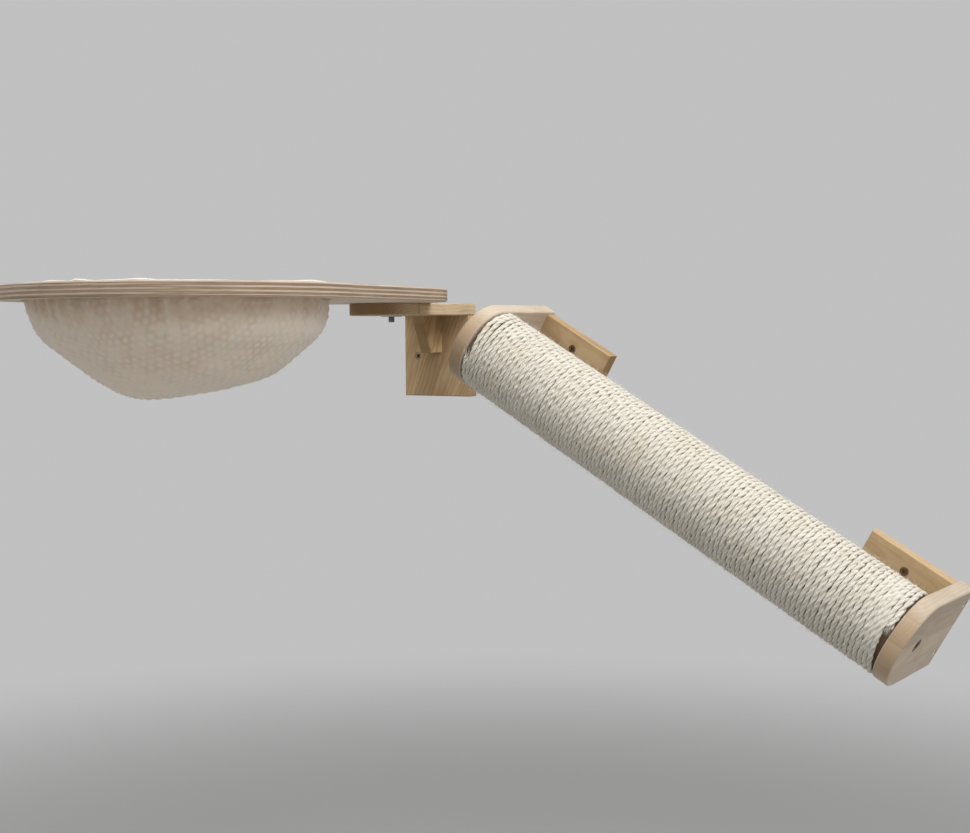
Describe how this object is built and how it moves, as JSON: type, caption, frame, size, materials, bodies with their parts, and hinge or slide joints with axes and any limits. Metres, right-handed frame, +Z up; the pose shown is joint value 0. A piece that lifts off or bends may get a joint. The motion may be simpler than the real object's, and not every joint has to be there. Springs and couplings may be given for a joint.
{
  "type": "wall mounted cat tree",
  "caption": "Wall mounted cat tree: a plush hammock in a plywood ring on a timber bracket, beside a sloping sisal scratching post held by two wall supports.",
  "frame": {"origin": "centre of the hammock bracket's back plate, on the wall face", "axes": "+X along the wall to the right, +Y into the wall, +Z up"},
  "size_m": [0.8799, 0.6974, 0.4167],
  "materials": {
    "pine": "sanded, edge-glued pale softwood, unlacquered",
    "birch_plywood": "sanded birch plywood, bare ply edges",
    "plush": "short-pile plush embossed with small raised dots",
    "sisal": "natural twisted sisal rope, three strands",
    "hook_tape": "white hook tape",
    "cardboard": "spiral wound paper tube",
    "zinc_steel": "bright zinc plated steel",
    "wall_screw_steel": "dark yellow-passivated steel",
    "bolt_steel": "black oxide steel"
  },
  "bodies": {
    "wall_frame": {"board_bolt": "zinc_steel", "board_bolt_washer": "zinc_steel", "bracket_back_plate": "pine", "bracket_gusset": "pine", "bracket_joint_screws": "zinc_steel", "bracket_tongue": "pine", "bracket_wall_screws": "wall_screw_steel", "lower_bolt_washer": "zinc_steel", "lower_core_plug": "pine", "lower_end_bolt": "bolt_steel", "lower_end_plate": "pine", "lower_joint_screws": "zinc_steel", "lower_plug_insert": "zinc_steel", "lower_wall_plank": "pine", "lower_wall_screws": "wall_screw_steel", "post_core_tube": "cardboard", "sisal_rope_wrap": "sisal", "tongue_tee_nut": "zinc_steel", "upper_bolt_washer": "zinc_steel", "upper_core_plug": "pine", "upper_end_bolt": "bolt_steel", "upper_end_plate": "pine", "upper_joint_screws": "zinc_steel", "upper_plug_insert": "zinc_steel", "upper_wall_plank": "pine", "upper_wall_screws": "wall_screw_steel"},
    "ring_board": {"hammock_board": "birch_plywood", "hem_hook_tape": "hook_tape"},
    "hammock": {"plush_bowl": "plush"}
  },
  "joints": [
    {"name": "board_swivel", "type": "hinge", "parent": "wall_frame", "child": "ring_board", "pos_m": [0, -0.108, 0.067], "axis": [0, 0, 1], "range_deg": [-45, 45]},
    {"name": "bowl_lift_out", "type": "slide", "parent": "ring_board", "child": "hammock", "axis": [0, 0, 1], "range_m": [0, 0.13]}
  ]
}
